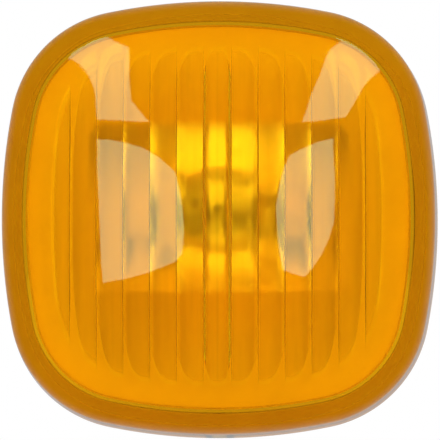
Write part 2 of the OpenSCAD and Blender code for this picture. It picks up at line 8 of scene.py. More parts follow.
import bmesh
import bpy
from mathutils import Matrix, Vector

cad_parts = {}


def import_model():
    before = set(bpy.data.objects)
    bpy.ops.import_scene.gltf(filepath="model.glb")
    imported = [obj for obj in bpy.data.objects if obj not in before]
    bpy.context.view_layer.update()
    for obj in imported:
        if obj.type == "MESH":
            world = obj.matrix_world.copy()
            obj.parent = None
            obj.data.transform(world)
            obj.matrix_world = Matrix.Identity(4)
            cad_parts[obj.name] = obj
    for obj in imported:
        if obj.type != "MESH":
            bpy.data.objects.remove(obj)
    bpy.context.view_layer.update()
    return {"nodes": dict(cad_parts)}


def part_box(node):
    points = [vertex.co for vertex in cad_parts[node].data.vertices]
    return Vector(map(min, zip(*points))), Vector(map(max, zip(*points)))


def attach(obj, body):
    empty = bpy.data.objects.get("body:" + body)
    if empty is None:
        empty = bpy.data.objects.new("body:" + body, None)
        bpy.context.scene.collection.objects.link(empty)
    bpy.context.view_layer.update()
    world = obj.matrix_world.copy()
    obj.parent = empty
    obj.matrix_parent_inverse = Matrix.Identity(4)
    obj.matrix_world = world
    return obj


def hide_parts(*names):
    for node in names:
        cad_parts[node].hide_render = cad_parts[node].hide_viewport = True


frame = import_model()
nodes = frame["nodes"]
MM = 0.001

# Lens sizes, as in the construction
LENS_LOW, LENS_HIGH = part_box("lens")
LENS_W = LENS_HIGH.x - LENS_LOW.x
LENS_H = 2 * -LENS_LOW.z
APEX_Y = LENS_LOW.y
RIM_Y = LENS_HIGH.y
PLATE_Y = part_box("housing")[0].y
LEDGE_Y = PLATE_Y - 0.05 * MM
SIDE_BOW_R = 71 * MM
TOP_BOW_R = 68 * MM
CORNER_R = 15.3 * MM
DOME_RISE = 3.4 * MM
DOME_SQUARE = 0.7
EDGE_R = 2.6 * MM
WALL_LEAN = 0.4 * MM
FRONT_T = 2.2 * MM
POCKET_WALL = 2.2 * MM
LEDGE_WALL = POCKET_WALL + 0.7 * MM
INNER_WALL = LEDGE_WALL + 0.3 * MM
INNER_R = 1.2 * MM
CAP_INSET = INNER_WALL + INNER_R
KEY_DEPTH = 1.4 * MM
GATE_H = 0.15 * MM
FLUTE_PITCH = 3.24 * MM
FLUTE_H = 0.6 * MM
FLUTE_FACE = 0.12 * MM
FLUTE_SIDE = 6
FLUTE_REACH = 20.7 * MM
CREST_POWER = 4
BED_RISE = 1.0 * MM
BED_CORNER_LIFT = 0.8 * MM
DOME_A = LENS_W / 2 - WALL_LEAN - EDGE_R
DOME_B = LENS_H / 2 - WALL_LEAN - EDGE_R
BED_Y = APEX_Y + FRONT_T + (DOME_RISE - BED_RISE) * (FLUTE_REACH / DOME_B) ** 2

FLUTE_STEPS = 16
SIDE_STEPS = 14
EDGE_STEPS = 10
DOME_RINGS = 36
BED_ROWS = 22
MARGIN_ROWS = 5


def circles_meet(p, rp, q, rq):
    """Upper right meeting point of two circles, each given by centre and radius."""
    d = (q - p).length
    a = (rp * rp - rq * rq + d * d) / (2 * d)
    u = (q - p) / d
    side = 1 if u.y > u.x else -1
    return p + a * u + math.sqrt(rp * rp - a * a) * side * Vector((u.y, -u.x))


SIDE_C = Vector((LENS_W / 2 - SIDE_BOW_R, 0))
TOP_C = Vector((0, LENS_H / 2 - TOP_BOW_R))
CORNER_C = circles_meet(SIDE_C, SIDE_BOW_R - CORNER_R, TOP_C, TOP_BOW_R - CORNER_R)
SIDE_ANGLE = math.atan2(CORNER_C.y - SIDE_C.y, CORNER_C.x - SIDE_C.x)
TOP_ANGLE = math.atan2(CORNER_C.y - TOP_C.y, CORNER_C.x - TOP_C.x)


def station(x):
    """Place on the outline whose inner edge lies at x, as centre, radius and angle."""
    if x < (TOP_BOW_R - CAP_INSET) * math.cos(TOP_ANGLE):
        return TOP_C, TOP_BOW_R, math.acos(x / (TOP_BOW_R - CAP_INSET))
    return CORNER_C, CORNER_R, math.acos((x - CORNER_C.x) / (CORNER_R - CAP_INSET))


def lens_columns():
    """Stations from the middle of the lens to its right side, fine enough for the flutes."""
    places = [k * FLUTE_PITCH / FLUTE_STEPS for k in range(FLUTE_STEPS // 2)]
    for j in range(1, FLUTE_SIDE + 1):
        line = (j - 0.5) * FLUTE_PITCH
        fall = FLUTE_PITCH - FLUTE_FACE
        places.append(line)
        places += [line + FLUTE_FACE + fall * k / (FLUTE_STEPS - 1) for k in range(FLUTE_STEPS - 1)]
    flute_end = (FLUTE_SIDE + 0.5) * FLUTE_PITCH
    corner_end = CORNER_C.x + (CORNER_R - CAP_INSET) * math.cos(SIDE_ANGLE)
    places += [flute_end, (flute_end * 2 + corner_end) / 3, (flute_end + corner_end * 2) / 3]
    columns = [(*station(x), x) for x in places]
    turns = [SIDE_ANGLE * (1 - k / SIDE_STEPS) for k in range(SIDE_STEPS + 1)]
    columns += [(SIDE_C, SIDE_BOW_R, turn, LENS_W) for turn in turns]
    return columns, flute_end


def pillow(x, z):
    u = (x / DOME_A) ** 2
    v = (z / DOME_B) ** 2
    return u + v - DOME_SQUARE * u * v


def bed_end(x):
    """Half length of the fluted bed at x, or 0 where there is none."""
    a = abs(x) / FLUTE_PITCH
    t = (a + 0.5 - math.floor(a + 0.5)) * FLUTE_PITCH
    arc = max(t - FLUTE_FACE, 0) / (FLUTE_PITCH - FLUTE_FACE)
    fall = FLUTE_H * ((2 * a) ** CREST_POWER if a < 0.5 else max(arc**CREST_POWER, 1 - t / FLUTE_FACE))
    u = (x / DOME_A) ** 2
    p = (BED_Y - fall - APEX_Y - FRONT_T) / (DOME_RISE - BED_RISE)
    lift = BED_CORNER_LIFT / (DOME_RISE - BED_RISE)
    return DOME_B * math.sqrt((p - u) / (1 - (DOME_SQUARE + lift) * u)) if p > u else 0


def lens_shell():
    """Closed lens moulding with a smooth inside; returns its mesh, with the inside's points marked as the
    fluted field.
    """
    right, flute_end = lens_columns()
    half = len(right)
    cols = 2 * half - 1
    ring_n = 2 * cols - 2

    def ring_point(i, inset):
        col = i if i < cols else ring_n - i
        side = col - (half - 1)
        centre, radius, angle, reach = right[abs(side)]
        if callable(inset):
            inset = inset(reach, i < cols)
        x = centre.x + (radius - inset) * math.cos(angle)
        z = centre.y + (radius - inset) * math.sin(angle)
        return (-x if side < 0 else x), (z if i < cols else -z)

    def rim_edge(reach, upper):
        return -GATE_H * max(1 - 4 * reach / FLUTE_PITCH, 0) if upper else 0

    def pocket_edge(reach, upper):
        key = min(max(2 - 4 * reach / FLUTE_PITCH, 0), 1)
        return POCKET_WALL - (0 if upper else KEY_DEPTH * key)

    def dome_y(x, z):
        return APEX_Y + DOME_RISE * pillow(x, z)

    def flat_ring(inset, y):
        return [(x, y, z) for x, z in (ring_point(i, inset) for i in range(ring_n))]

    def dome_ring(inset, drop, share=1.0):
        points = ((x * share, z * share) for x, z in (ring_point(i, inset) for i in range(ring_n)))
        return [(x, dome_y(x, z) + drop, z) for x, z in points]

    def rounded(inset, radius, drop, steps, order):
        turns = [math.pi / 2 * k / steps for k in order]
        places = [(inset + radius * (1 - math.cos(a)), drop + radius * (1 - math.sin(a))) for a in turns]
        return [dome_ring(*place) for place in places]

    rings = [dome_ring(WALL_LEAN + EDGE_R, 0, k / DOME_RINGS) for k in range(1, DOME_RINGS + 1)]
    rings += rounded(WALL_LEAN, EDGE_R, 0, EDGE_STEPS, range(EDGE_STEPS - 1, -1, -1))
    rings += [flat_ring(rim_edge, RIM_Y), flat_ring(pocket_edge, RIM_Y)]
    rings += [flat_ring(pocket_edge, LEDGE_Y), flat_ring(LEDGE_WALL, LEDGE_Y)]
    rings += rounded(INNER_WALL, INNER_R, FRONT_T, EDGE_STEPS, range(EDGE_STEPS + 1))

    points = [p for ring in rings for p in ring]
    apex = len(points)
    points.append((0, APEX_Y, 0))
    faces = [(apex, (i + 1) % ring_n, i) for i in range(ring_n)]
    for k in range(len(rings) - 1):
        a, b = k * ring_n, (k + 1) * ring_n
        for i in range(ring_n):
            j = (i + 1) % ring_n
            faces.append((a + i, a + j, b + j, b + i))

    cap_from = len(points)
    row_n = 0
    for c in range(1, cols - 1):
        x, top = ring_point(c, CAP_INSET)
        end = max(bed_end(x), 0.3 * top)
        upper = [top + (end - top) * k / MARGIN_ROWS for k in range(1, MARGIN_ROWS)]
        upper += [end * (1 - k / BED_ROWS) for k in range(BED_ROWS)]
        rows = upper + [0] + [-z for z in reversed(upper)]
        row_n = len(rows)
        points += [(x, dome_y(x, z) + FRONT_T, z) for z in rows]
    last = (len(rings) - 1) * ring_n

    def cap_point(c, r):
        if r == 0:
            return last + c
        if r == row_n + 1:
            return last + (ring_n - c) % ring_n
        return cap_from + (c - 1) * row_n + r - 1

    for c in range(1, cols - 2):
        for r in range(row_n + 1):
            faces.append((cap_point(c, r), cap_point(c + 1, r), cap_point(c + 1, r + 1), cap_point(c, r + 1)))
    for r in range(row_n + 1):
        faces.append((last, cap_point(1, r), cap_point(1, r + 1)))
        faces.append((last + cols - 1, cap_point(cols - 2, r + 1), cap_point(cols - 2, r)))

    mesh = bpy.data.meshes.new("lens_moulding")
    mesh.from_pydata(points, [], faces)
    ledge = mesh.attributes.new("ledge", "BOOLEAN", "FACE")
    ledge_from = ring_n * (DOME_RINGS + EDGE_STEPS + 3)
    for i in range(ledge_from, ledge_from + ring_n):
        ledge.data[i].value = True
    field = mesh.attributes.new("fluted_field", "BOOLEAN", "POINT")
    for i in range(cap_from, len(points)):
        field.data[i].value = abs(points[i][0]) <= flute_end + 0.00001
    return mesh


class Tree:
    """Short way to lay out nodes in a tree: t.add(type, inputs, settings) returns the node."""

    def __init__(self, tree):
        self.tree = tree

    def add(self, kind, inputs=None, **settings):
        node = self.tree.nodes.new(kind)
        for name, value in settings.items():
            setattr(node, name, value)
        for key, value in (inputs or {}).items():
            self.feed(node.inputs[key], value)
        return node

    def feed(self, socket, value):
        if isinstance(value, bpy.types.NodeSocket):
            self.tree.links.new(value, socket)
        else:
            socket.default_value = value

    def math(self, operation, *values):
        node = self.add("ShaderNodeMath", operation=operation)
        for i, value in enumerate(values):
            self.feed(node.inputs[i], value)
        return node.outputs[0]


def flute_tree(material, seam_material):
    """Geometry nodes that raise the upright flutes on the inside of the lens."""
    tree = bpy.data.node_groups.new("lens_flutes", "GeometryNodeTree")
    face = tree.interface
    face.new_socket("Geometry", in_out="INPUT", socket_type="NodeSocketGeometry")
    sizes = ("Pitch", "Height", "Face", "Crest Power", "Bed Level", "Bed Rise", "Corner Lift")
    for name in (*sizes, "Half Width", "Half Height", "Squareness", "Blend Height"):
        face.new_socket(name, in_out="INPUT", socket_type="NodeSocketFloat")
    face.new_socket("Geometry", in_out="OUTPUT", socket_type="NodeSocketGeometry")
    t = Tree(tree)
    ins = t.add("NodeGroupInput").outputs
    place = t.add("ShaderNodeSeparateXYZ", {0: t.add("GeometryNodeInputPosition").outputs[0]}).outputs
    steps = t.math("DIVIDE", t.math("ABSOLUTE", place["X"]), ins["Pitch"])
    middle = t.math("POWER", t.math("MULTIPLY", steps, 2.0), ins["Crest Power"])
    along = t.math("MULTIPLY", t.math("FRACT", t.math("ADD", steps, 0.5)), ins["Pitch"])
    past = t.math("MAXIMUM", t.math("SUBTRACT", along, ins["Face"]), 0.0)
    arc = t.math("DIVIDE", past, t.math("SUBTRACT", ins["Pitch"], ins["Face"]))
    steep = t.math("SUBTRACT", 1.0, t.math("DIVIDE", along, ins["Face"]))
    side = t.math("MAXIMUM", t.math("POWER", arc, ins["Crest Power"]), steep)
    in_middle = t.math("LESS_THAN", steps, 0.5)
    chosen = t.add("ShaderNodeMix", {"Factor": in_middle, "A": side, "B": middle}).outputs["Result"]
    wave = t.math("MULTIPLY", chosen, ins["Height"])
    u = t.math("POWER", t.math("DIVIDE", place["X"], ins["Half Width"]), 2.0)
    v = t.math("POWER", t.math("DIVIDE", place["Z"], ins["Half Height"]), 2.0)
    square = t.math("MULTIPLY", t.math("MULTIPLY", u, v), ins["Squareness"])
    bulge = t.math("SUBTRACT", t.math("ADD", u, v), square)
    bed = t.math("ADD", ins["Bed Level"], t.math("MULTIPLY", bulge, ins["Bed Rise"]))
    bed = t.math("ADD", bed, t.math("MULTIPLY", t.math("MULTIPLY", u, v), ins["Corner Lift"]))
    raised = t.math("SUBTRACT", t.math("SUBTRACT", bed, wave), place["Y"])
    level = t.math("ADD", place["Y"], t.math("MAXIMUM", raised, 0.0))
    moved = t.add("ShaderNodeCombineXYZ", {0: place["X"], 1: level, 2: place["Z"]}).outputs[0]
    field = t.add("GeometryNodeInputNamedAttribute", {"Name": "fluted_field"}, data_type="BOOLEAN")
    share = t.math("DIVIDE", raised, ins["Blend Height"])
    share = t.add("ShaderNodeClamp", {"Value": share}).outputs[0]
    share = t.math("MULTIPLY", share, field.outputs["Attribute"])
    marked = t.add(
        "GeometryNodeStoreNamedAttribute",
        {"Geometry": ins["Geometry"], "Name": "flute_rise", "Value": share},
        data_type="FLOAT",
        domain="POINT",
    ).outputs[0]
    shaped = t.add(
        "GeometryNodeSetPosition",
        {"Geometry": marked, "Selection": field.outputs["Attribute"], "Position": moved},
    ).outputs[0]
    real = t.add("GeometryNodeRealizeInstances", {"Geometry": shaped}).outputs[0]
    body = t.add("GeometryNodeSetMaterial", {"Geometry": real, "Material": material}).outputs[0]
    ledge = t.add("GeometryNodeInputNamedAttribute", {"Name": "ledge"}, data_type="BOOLEAN")
    inputs = {"Geometry": body, "Selection": ledge.outputs["Attribute"], "Material": seam_material}
    t.add("NodeGroupOutput", {"Geometry": t.add("GeometryNodeSetMaterial", inputs).outputs[0]})
    return tree


def grown(obj, tree, sizes):
    """Makes obj the tree's result, a plain mesh, with the tree's named inputs set to sizes."""
    modifier = obj.modifiers.new("form", "NODES")
    modifier.node_group = tree
    sockets = {item.name: item.identifier for item in tree.interface.items_tree if item.in_out == "INPUT"}
    for name, value in sizes.items():
        modifier[sockets[name]] = value
    bpy.context.view_layer.update()
    depsgraph = bpy.context.evaluated_depsgraph_get()
    mesh = bpy.data.meshes.new_from_object(obj.evaluated_get(depsgraph))
    obj.modifiers.clear()
    obj.data = mesh


# Highest level that a ramp may give
RAMP_TOP = 1.2
# Painted shade across one flute from its inner to its outer side, and the painted highlight line along its
# outer side
FLUTE_PAINTED_SHADE = ((0.0, 0.72), (0.05, 0.8), (0.15, 0.92), (0.5, 0.86), (0.78, 0.76), (0.88, 0.76), (0.93, 1.0))
FLUTE_PAINTED_HIGHLIGHT = ((0.84, 0.0), (0.92, 0.17), (1.0, 0.17))
# Painted highlight along the bend where a flute runs out into the smooth inside
RUN_OUT_PAINTED_HIGHLIGHT = ((0.0, 0.0), (0.25, 0.12), (0.5, 0.12), (0.8, 0.0))
# Stretch of the painted shade over the middle flute, whose crest is in its middle
MIDDLE_FLUTE_SPAN = 1.84
# Flutes and heights over which the painted shade deepens towards the sides and the bottom
OUTERMOST_FLUTE = FLUTE_SIDE + 0.5
SHADED_FROM_Z = 15 * MM
SHADED_TO_Z = -15 * MM
STREAK_SHAPE = (1, 1, 0.04)
STREAK_SCALE = 1600.0

# Clear amber acrylic
ACRYLIC_IOR = 1.49
POLISHED = 0.02
FLUTES_ROUGH = 0.3
AMBER_DEPTH_COLOUR = (0.985, 0.7, 0.0, 1)
AMBER_DENSITY = 200.0
FLUTE_SPREAD = 0.08
FLUTE_STREAKS = 0.25
# How deep the painted shade on the flutes grows towards the sides and towards the bottom
OUTER_PAINTED_SHADE = 1.3
LOWER_PAINTED_SHADE = 0.4


def new_object(name, data):
    obj = bpy.data.objects.new(name, data)
    bpy.context.scene.collection.objects.link(obj)
    return obj


def new_material(name):
    material = bpy.data.materials.new(name)
    material.use_nodes = True
    t = Tree(material.node_tree)
    shader = material.node_tree.nodes["Principled BSDF"]
    out = material.node_tree.nodes["Material Output"]
    return material, t, shader, out


def group(name, inputs, outputs):
    """Empty shader node group with float inputs and outputs."""
    tree = bpy.data.node_groups.new(name, "ShaderNodeTree")
    for socket in inputs:
        tree.interface.new_socket(socket, in_out="INPUT", socket_type="NodeSocketFloat")
    for socket in outputs:
        tree.interface.new_socket(socket, in_out="OUTPUT", socket_type="NodeSocketFloat")
    t = Tree(tree)
    return t, t.add("NodeGroupInput").outputs


def placed(t, tree, values):
    """The group in a material, with its own values."""
    node = t.add("ShaderNodeGroup", node_tree=tree)
    for name, value in values.items():
        t.feed(node.inputs[name], value)
    return node.outputs


def ramp(t, value, stops):
    """Value that follows the given stops, as pairs of place and level; levels go up to RAMP_TOP."""
    node = t.add("ShaderNodeValToRGB", {0: value})
    elements = node.color_ramp.elements
    while len(elements) < len(stops):
        elements.new(0.5)
    for element, (place, level) in zip(elements, stops):
        element.position = place
        element.color = (level / RAMP_TOP,) * 3 + (1,)
    return t.math("MULTIPLY", node.outputs["Color"], RAMP_TOP)


def flute_painted_shade_group():
    """How brightly each place on the flutes passes light, as painted shade and highlight: a painted pale line
    at the outer edge, painted shade beside it.
    """
    inputs = ("Pitch", "Rise", "Spread", "Streaks", "Outer Painted Shade", "Lower Painted Shade")
    t, ins = group("flute_painted_shade", inputs, ("Painted Light",))
    place = t.add("ShaderNodeTexCoord").outputs["Object"]
    parts = t.add("ShaderNodeSeparateXYZ", {0: place}).outputs
    steps = t.math("DIVIDE", t.math("ABSOLUTE", parts["X"]), ins["Pitch"])
    across = t.math("FRACT", t.math("ADD", steps, 0.5))
    middle = t.math("LESS_THAN", steps, 0.5)
    from_middle = t.math("MULTIPLY", steps, MIDDLE_FLUTE_SPAN)
    across = t.add("ShaderNodeMix", {"Factor": middle, "A": across, "B": from_middle}).outputs["Result"]
    # Painted shade and highlight across each flute
    painted_light = ramp(t, across, FLUTE_PAINTED_SHADE)
    # Painted shade, deeper towards the sides and the bottom
    outward = spread(t, steps, 0.5, OUTERMOST_FLUTE, 0.35, 1.0)
    outward = t.math("MULTIPLY", outward, ins["Outer Painted Shade"])
    lower = spread(t, parts["Z"], SHADED_FROM_Z, SHADED_TO_Z)
    downward = t.math("MULTIPLY", lower, ins["Lower Painted Shade"])
    painted_light_and_streaks = t.math("MULTIPLY", t.math("SUBTRACT", painted_light, 1.0), t.math("ADD", outward, downward))
    # Painted highlight line along each flute's outer edge
    painted_light_and_streaks = t.math("ADD", painted_light_and_streaks, ramp(t, across, FLUTE_PAINTED_HIGHLIGHT))
    number = t.math("ROUND", t.math("DIVIDE", parts["X"], ins["Pitch"]))
    chance = t.add("ShaderNodeTexWhiteNoise", {"W": number}, noise_dimensions="1D").outputs["Value"]
    painted_light_and_streaks = t.math("ADD", painted_light_and_streaks, t.math("MULTIPLY", t.math("SUBTRACT", chance, 0.5), ins["Spread"]))
    streak = noise(t, object_place(t, STREAK_SHAPE), STREAK_SCALE, 2.0)
    painted_light_and_streaks = t.math("ADD", painted_light_and_streaks, t.math("MULTIPLY", t.math("SUBTRACT", streak, 0.5), ins["Streaks"]))
    full = t.add(
        "ShaderNodeMapRange",
        {"Value": ins["Rise"], "From Min": 0.4, "From Max": 1.0},
        interpolation_type="SMOOTHSTEP",
    ).outputs["Result"]
    painted_light_and_streaks = t.math("MULTIPLY", painted_light_and_streaks, full)
    # Painted highlight where a flute runs out
    end = ramp(t, ins["Rise"], RUN_OUT_PAINTED_HIGHLIGHT)
    t.add("NodeGroupOutput", {"Painted Light": t.math("ADD", t.math("ADD", painted_light_and_streaks, 1.0), end)})
    return t.tree


def amber_glass(name, colour, through, painted_shade_group):
    """Clear amber moulding that lets the lamps' light through in its own colour; the flutes' painted shade
    and highlight scale both its colour and that light.
    """
    material, t, shader, out = new_material(name)
    rise = t.add("ShaderNodeAttribute", attribute_name="flute_rise").outputs["Fac"]
    sizes = {"Pitch": FLUTE_PITCH, "Rise": rise, "Spread": FLUTE_SPREAD, "Streaks": FLUTE_STREAKS}
    painted_shade_depths = {"Outer Painted Shade": OUTER_PAINTED_SHADE, "Lower Painted Shade": LOWER_PAINTED_SHADE}
    painted_light = placed(t, painted_shade_group, {**sizes, **painted_shade_depths})["Painted Light"]
    # The amber colour scaled by the flutes' painted shade and highlight
    tinted = t.add("ShaderNodeVectorMath", {0: colour, "Scale": painted_light}, operation="SCALE").outputs[0]
    tinted = t.add("ShaderNodeVectorMath", {0: tinted, 1: (1, 1, 1)}, operation="MINIMUM").outputs[0]
    t.feed(shader.inputs["Base Color"], tinted)
    shader.inputs["Transmission Weight"].default_value = 1
    shader.inputs["IOR"].default_value = ACRYLIC_IOR
    t.feed(shader.inputs["Roughness"], spread(t, rise, 0, 1, POLISHED, FLUTES_ROUGH))
    shadow = t.add("ShaderNodeLightPath").outputs["Is Shadow Ray"]
    # The light let through, scaled by the same painted shade and highlight
    passed = t.add("ShaderNodeVectorMath", {0: through, "Scale": painted_light}, operation="SCALE").outputs[0]
    clear = t.add("ShaderNodeBsdfTransparent", {"Color": passed})
    mixed = t.add("ShaderNodeMixShader", {0: shadow, 1: shader.outputs[0], 2: clear.outputs[0]}).outputs[0]
    t.feed(out.inputs["Surface"], mixed)
    absorb = t.add("ShaderNodeVolumeAbsorption", {"Color": AMBER_DEPTH_COLOUR, "Density": AMBER_DENSITY})
    t.feed(out.inputs["Volume"], absorb.outputs[0])
    return material


def object_place(t, stretch=None):
    """Place on the piece in metres, or stretched along an axis by the given shares."""
    place = t.add("ShaderNodeTexCoord").outputs["Object"]
    if stretch is None:
        return place
    return t.add("ShaderNodeVectorMath", {0: place, 1: stretch}, operation="MULTIPLY").outputs[0]


def noise(t, place, scale, detail=3.0, roughness=0.55):
    inputs = {"Vector": place, "Scale": scale, "Detail": detail, "Roughness": roughness}
    return t.add("ShaderNodeTexNoise", inputs).outputs["Fac"]


def spread(t, value, low, high, to_low=0.0, to_high=1.0):
    inputs = {"Value": value, "From Min": low, "From Max": high, "To Min": to_low, "To Max": to_high}
    return t.add("ShaderNodeMapRange", inputs).outputs["Result"]


def mould_grain_group():
    """Fine grain that a mould leaves, with slow patches of more and less gloss."""
    t, ins = group("mould_grain", ("Grain Scale", "Patch Scale"), ("Height", "Patches"))
    place = object_place(t)
    height = noise(t, place, ins["Grain Scale"], 2.0, 0.6)
    patches = spread(t, noise(t, place, ins["Patch Scale"], 4.0), 0.3, 0.7)
    t.add("NodeGroupOutput", {"Height": height, "Patches": patches})
    return t.tree


def dust_group():
    """Dust that lies on what faces up, broken into specks."""
    t, ins = group("dust", ("Amount", "Speck Scale"), ("Dust",))
    up = t.add("ShaderNodeSeparateXYZ", {0: t.add("ShaderNodeTexCoord").outputs["Normal"]}).outputs["Z"]
    facing = spread(t, up, -0.2, 1.0, 0.15, 1.0)
    specks = spread(t, noise(t, object_place(t), ins["Speck Scale"], 5.0, 0.65), 0.45, 0.75)
    t.add("NodeGroupOutput", {"Dust": t.math("MULTIPLY", t.math("MULTIPLY", facing, specks), ins["Amount"])})
    return t.tree


def rolled_lines_group():
    """Lines that rolling or drawing leaves along a strip or wire, and patches of tarnish."""
    t, ins = group("rolled_lines", ("Line Scale", "Patch Scale"), ("Lines", "Tarnish"))
    lines = noise(t, object_place(t, (1, 0.03, 1)), ins["Line Scale"], 3.0, 0.6)
    tarnish = spread(t, noise(t, object_place(t), ins["Patch Scale"], 5.0, 0.65), 0.4, 0.68)
    t.add("NodeGroupOutput", {"Lines": lines, "Tarnish": tarnish})
    return t.tree


def blend(t, share, first, second):
    inputs = {"Factor": share, "A": first, "B": second}
    return t.add("ShaderNodeMix", inputs, data_type="RGBA").outputs["Result"]


def tint(colour, level):
    return (*(min(c * level, 1) for c in colour), 1)


def bumped(t, shader, height, depth, strength):
    inputs = {"Height": height, "Distance": depth, "Strength": strength}
    t.feed(shader.inputs["Normal"], t.add("ShaderNodeBump", inputs).outputs[0])


def moulded_plastic(name, colour, roughness, dusty, browned=None):
    """Satin moulded plastic with grain, patches and dust; browned gives where heat tints it along Y."""
    material, t, shader, _ = new_material(name)
    grain = placed(t, MOULD_GRAIN, {"Grain Scale": 6000.0, "Patch Scale": 180.0})
    dust = placed(t, DUST, {"Amount": dusty, "Speck Scale": 900.0})["Dust"]
    base = blend(t, grain["Patches"], tint(colour, 0.96), tint(colour, 1.03))
    if browned:
        y = t.add("ShaderNodeSeparateXYZ", {0: object_place(t)}).outputs["Y"]
        heat = spread(t, y, browned[1], browned[0], 0.0, 0.6)
        base = blend(t, t.math("MULTIPLY", heat, grain["Patches"]), base, SCORCH_COLOUR)
    t.feed(shader.inputs["Base Color"], blend(t, dust, base, DUST_COLOUR))
    rough = t.math("ADD", spread(t, grain["Patches"], 0, 1, roughness - 0.06, roughness + 0.06), dust)
    t.feed(shader.inputs["Roughness"], rough)
    bumped(t, shader, grain["Height"], 0.00002, 0.35)
    return material


def soft_rubber(name, colour, roughness):
    """Matt rubber with a fine skin and some dust that clings to it."""
    material, t, shader, _ = new_material(name)
    grain = placed(t, MOULD_GRAIN, {"Grain Scale": 9000.0, "Patch Scale": 260.0})
    dust = placed(t, DUST, {"Amount": 0.25, "Speck Scale": 1500.0})["Dust"]
    base = blend(t, grain["Patches"], tint(colour, 0.92), tint(colour, 1.06))
    t.feed(shader.inputs["Base Color"], blend(t, dust, base, DUST_COLOUR))
    t.feed(shader.inputs["Roughness"], spread(t, grain["Patches"], 0, 1, roughness - 0.07, roughness + 0.07))
    bumped(t, shader, grain["Height"], 0.00002, 0.5)
    return material


def cut_foam():
    """Black closed-cell foam: small round cells with thin walls, dusty on top."""
    material, t, shader, _ = new_material("cut_foam")
    place = object_place(t)
    cells = t.add("ShaderNodeTexVoronoi", {"Vector": place, "Scale": 2600.0}).outputs["Distance"]
    dust = placed(t, DUST, {"Amount": 0.3, "Speck Scale": 1200.0})["Dust"]
    base = blend(t, spread(t, cells, 0.1, 0.6), (0.02, 0.02, 0.02, 1), (0.075, 0.073, 0.07, 1))
    t.feed(shader.inputs["Base Color"], blend(t, dust, base, DUST_COLOUR))
    t.feed(shader.inputs["Roughness"], spread(t, cells, 0.1, 0.6, 0.95, 0.8))
    bumped(t, shader, cells, 0.00015, 0.8)
    return material


def worked_metal(name, colour, tarnished, roughness, patch_scale=350.0):
    """Strip or wire with its rolling lines and patches of tarnish."""
    material, t, shader, _ = new_material(name)
    worked = placed(t, ROLLED_LINES, {"Line Scale": 5000.0, "Patch Scale": patch_scale})
    base = blend(t, worked["Lines"], tint(colour, 0.93), tint(colour, 1.05))
    t.feed(shader.inputs["Base Color"], blend(t, worked["Tarnish"], base, (*tarnished, 1)))
    shader.inputs["Metallic"].default_value = 1
    rough = t.math("ADD", spread(t, worked["Lines"], 0.3, 0.7, roughness - 0.06, roughness + 0.08),
                   t.math("MULTIPLY", worked["Tarnish"], 0.15))
    t.feed(shader.inputs["Roughness"], rough)
    bumped(t, shader, worked["Lines"], 0.00001, 0.4)
    return material


def blown_glass():
    """Clear glass that lets the lamps' light through, with faint waves from blowing."""
    material, t, shader, out = new_material("blown_glass")
    shader.inputs["Base Color"].default_value = (0.985, 0.99, 0.98, 1)
    shader.inputs["Transmission Weight"].default_value = 1
    shader.inputs["IOR"].default_value = 1.5
    waves = noise(t, object_place(t, (1, 0.4, 1)), 260.0, 1.0)
    t.feed(shader.inputs["Roughness"], spread(t, waves, 0.3, 0.7, 0.0, 0.03))
    bumped(t, shader, waves, 0.0001, 0.15)
    shadow = t.add("ShaderNodeLightPath").outputs["Is Shadow Ray"]
    clear = t.add("ShaderNodeBsdfTransparent", {"Color": (0.95, 0.95, 0.95, 1)})
    mixed = t.add("ShaderNodeMixShader", {0: shadow, 1: shader.outputs[0], 2: clear.outputs[0]}).outputs[0]
    t.feed(out.inputs["Surface"], mixed)
    return material


def finished(node, name, material, body, bevel=0.0, sharp=35):
    """Copy of a CAD node with its flat faces joined, its edges broken and its round faces smooth."""
    form = bmesh.new()
    form.from_mesh(nodes[node].data)
    bmesh.ops.remove_doubles(form, verts=form.verts, dist=WELD_DISTANCE)
    bmesh.ops.dissolve_limit(form, angle_limit=math.radians(0.4), verts=form.verts, edges=form.edges)
    mesh = bpy.data.meshes.new(name)
    form.to_mesh(mesh)
    form.free()
    piece = new_object(name, mesh)
    mesh.materials.clear()
    mesh.materials.append(material)
    mesh.shade_smooth()
    mesh.set_sharp_from_angle(angle=math.radians(sharp))
    if bevel:
        rounding = piece.modifiers.new("broken_edges", "BEVEL")
        rounding.width = bevel
        rounding.segments = 2
        rounding.limit_method = "ANGLE"
        rounding.angle_limit = math.radians(50)
        rounding.harden_normals = True
    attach(piece, body)
    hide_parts(node)


DUST_COLOUR = (0.42, 0.39, 0.34, 1)
SCORCH_COLOUR = (0.62, 0.47, 0.27, 1)
WELD_DISTANCE = 0.001 * MM
MOULD_GRAIN = mould_grain_group()
DUST = dust_group()
ROLLED_LINES = rolled_lines_group()

# Weld seam on the ledge where the lens is fused to the housing; its grey is painted shade that darkens the
# rim
weld_seam_shade = moulded_plastic("weld_seam_painted_shade", (0.52, 0.52, 0.4), 0.6, 0.0)
amber = amber_glass("amber_acrylic", (0.99, 0.67, 0.012), (0.985, 0.82, 0.11), flute_painted_shade_group())
lens = new_object("amber_lens", lens_shell())
grown(
    lens,
    flute_tree(amber, weld_seam_shade),
    {
        "Pitch": FLUTE_PITCH,
        "Height": FLUTE_H,
        "Face": FLUTE_FACE,
        "Crest Power": CREST_POWER,
        "Bed Level": BED_Y,
        "Bed Rise": BED_RISE,
        "Corner Lift": BED_CORNER_LIFT,
        "Half Width": DOME_A,
        "Half Height": DOME_B,
        "Squareness": DOME_SQUARE,
        "Blend Height": 0.1 * MM,
    },
)
lens.data.shade_smooth()
lens.data.set_sharp_from_angle(angle=math.radians(32))
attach(lens, "lamp")
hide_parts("lens")

